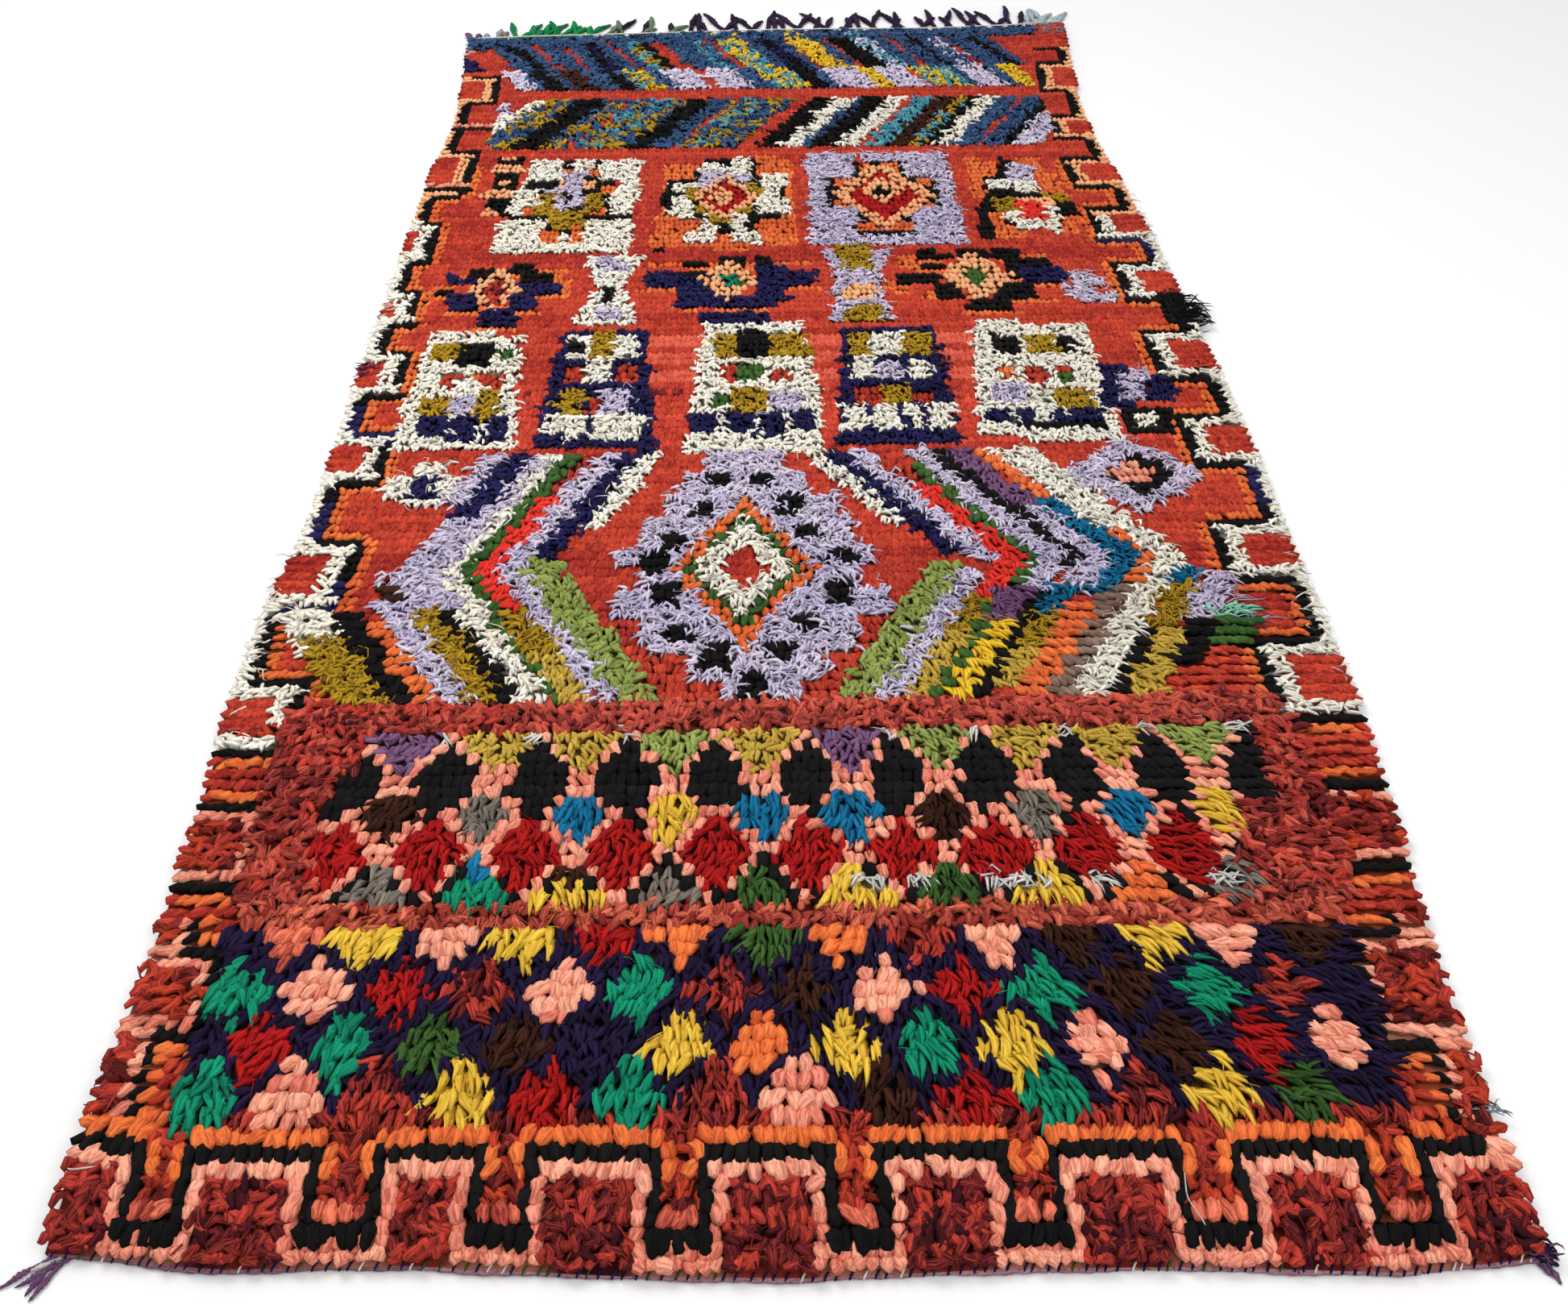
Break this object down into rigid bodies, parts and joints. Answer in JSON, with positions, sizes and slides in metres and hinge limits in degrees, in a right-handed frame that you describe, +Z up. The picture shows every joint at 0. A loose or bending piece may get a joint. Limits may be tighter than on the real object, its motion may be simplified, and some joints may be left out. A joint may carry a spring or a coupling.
{
  "type": "moroccan rug",
  "caption": "Long hand-knotted Moroccan pile rug lying flat, shaggy at one end and low in the field, with a mauve heading cord and a knotted fringe.",
  "frame": {"origin": "on the floor, under the middle of the cloth", "axes": "+Y along the rug from its shaggy end to its fringed end, +X across it to the right as seen from the shaggy end, +Z up out of the pile"},
  "size_m": [1.6107, 3.3717, 0.0348],
  "materials": {
    "pile": "matte",
    "mauve_cord": "matte",
    "fringe": "matte"
  },
  "bodies": {
    "root": {"rug_body": "pile", "near_heading": "mauve_cord", "far_fringe": "fringe"}
  },
  "joints": []
}
